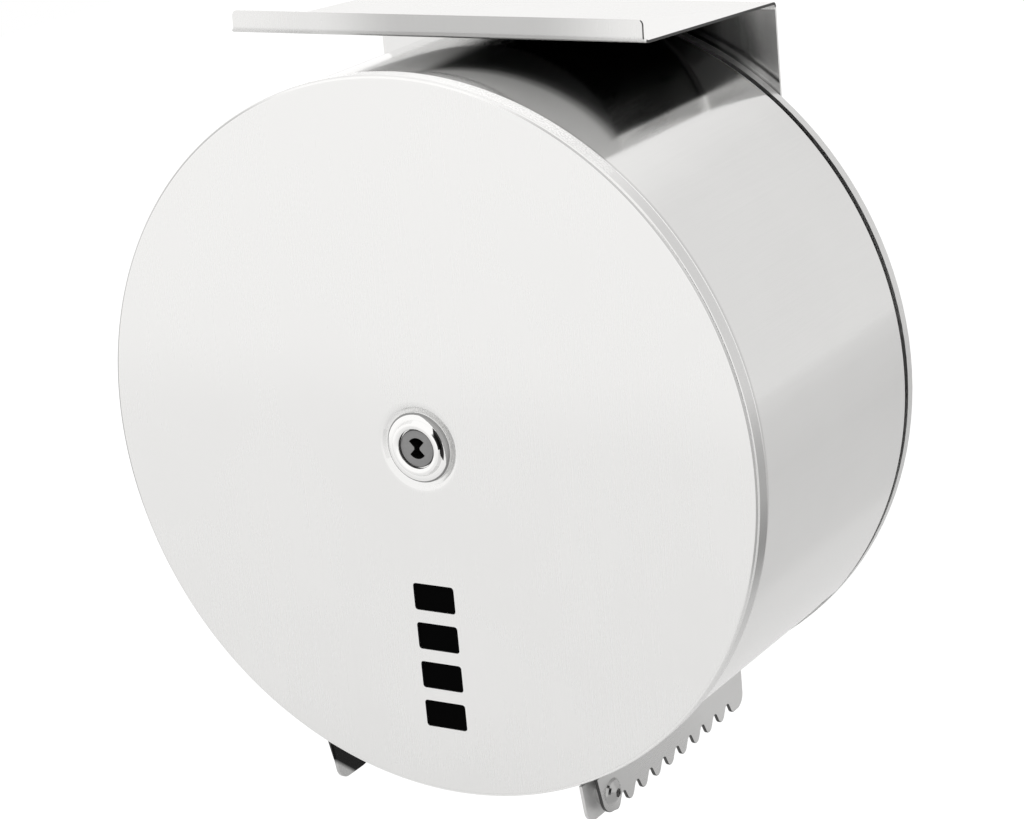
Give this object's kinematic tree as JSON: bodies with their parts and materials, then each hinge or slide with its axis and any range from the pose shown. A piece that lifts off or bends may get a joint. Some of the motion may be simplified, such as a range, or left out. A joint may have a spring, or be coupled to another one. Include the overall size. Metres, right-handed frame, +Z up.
{
  "type": "jumbo toilet roll dispenser",
  "caption": "Round stainless wall dispenser for a jumbo toilet roll: swing-open drum cover with key lock, sight windows, serrated tear blades and a shelf on top.",
  "frame": {"origin": "centre of the wall hole pattern at the wall, on the drum's axis", "axes": "+Z up, front faces -Y, +X to the right seen from the front; the wall is the plane y = 0"},
  "size_m": [0.271, 0.1303, 0.2834],
  "materials": {
    "satin_steel": "fine vertical brushed grain, satin",
    "drum_steel": "bright rolled sheet with a soft mirror shine",
    "blade_steel": "plain stamped sheet, darker than the body",
    "plain_steel": "plain mill sheet",
    "plated_steel": "dull bright zinc plating",
    "chrome": "polished chrome",
    "plug_metal": "grey satin",
    "hub_plastic": "moulded off-white plastic, fine texture",
    "washer_plastic": "natural low-friction plastic",
    "buffer_rubber": "matt black",
    "smoked_strip": "dark smoked sheet"
  },
  "bodies": {
    "base": {"back_plate": "plain_steel", "shelf": "satin_steel", "shelf_rivets": "plated_steel", "hinge_leaf_base": "plain_steel", "hinge_rivets_base": "plated_steel", "hinge_pin": "plated_steel", "spindle_base": "plated_steel", "spindle_nuts": "plated_steel", "spindle_shaft": "plated_steel", "thrust_washer_rear": "washer_plastic", "thrust_washer_front": "washer_plastic", "spindle_circlip": "plated_steel", "lock_striker": "plated_steel", "striker_screw": "plated_steel", "cover_buffers": "buffer_rubber"},
    "cover": {"front_cap": "satin_steel", "drum_shell": "drum_steel", "outlet_panel_left": "drum_steel", "outlet_panel_right": "drum_steel", "tear_blade_left": "blade_steel", "tear_blade_right": "blade_steel", "blade_spacers": "plated_steel", "blade_screws": "plated_steel", "sight_window": "smoked_strip", "hinge_leaf_cover": "plain_steel", "hinge_rivets_cover": "plated_steel", "lock_bezel": "chrome", "lock_barrel": "chrome", "lock_washer": "plated_steel", "lock_nut": "plated_steel"},
    "lock_cylinder": {"lock_plug": "plug_metal", "lock_cam": "plated_steel", "cam_screw": "plated_steel"},
    "roll_hub": {"core_hub": "hub_plastic"}
  },
  "joints": [
    {"name": "cover_hinge", "type": "hinge", "parent": "base", "child": "cover", "pos_m": [-0.136, -0.009, 0], "axis": [0, 0, -1], "range_deg": [0, 90]},
    {"name": "lock_turn", "type": "hinge", "parent": "cover", "child": "lock_cylinder", "pos_m": [0, -0.12, 0], "axis": [0, 1, 0], "range_deg": [0, 90]},
    {"name": "hub_spin", "type": "hinge", "parent": "base", "child": "roll_hub", "pos_m": [0, -0.06, 0], "axis": [0, 1, 0], "continuous": true}
  ]
}
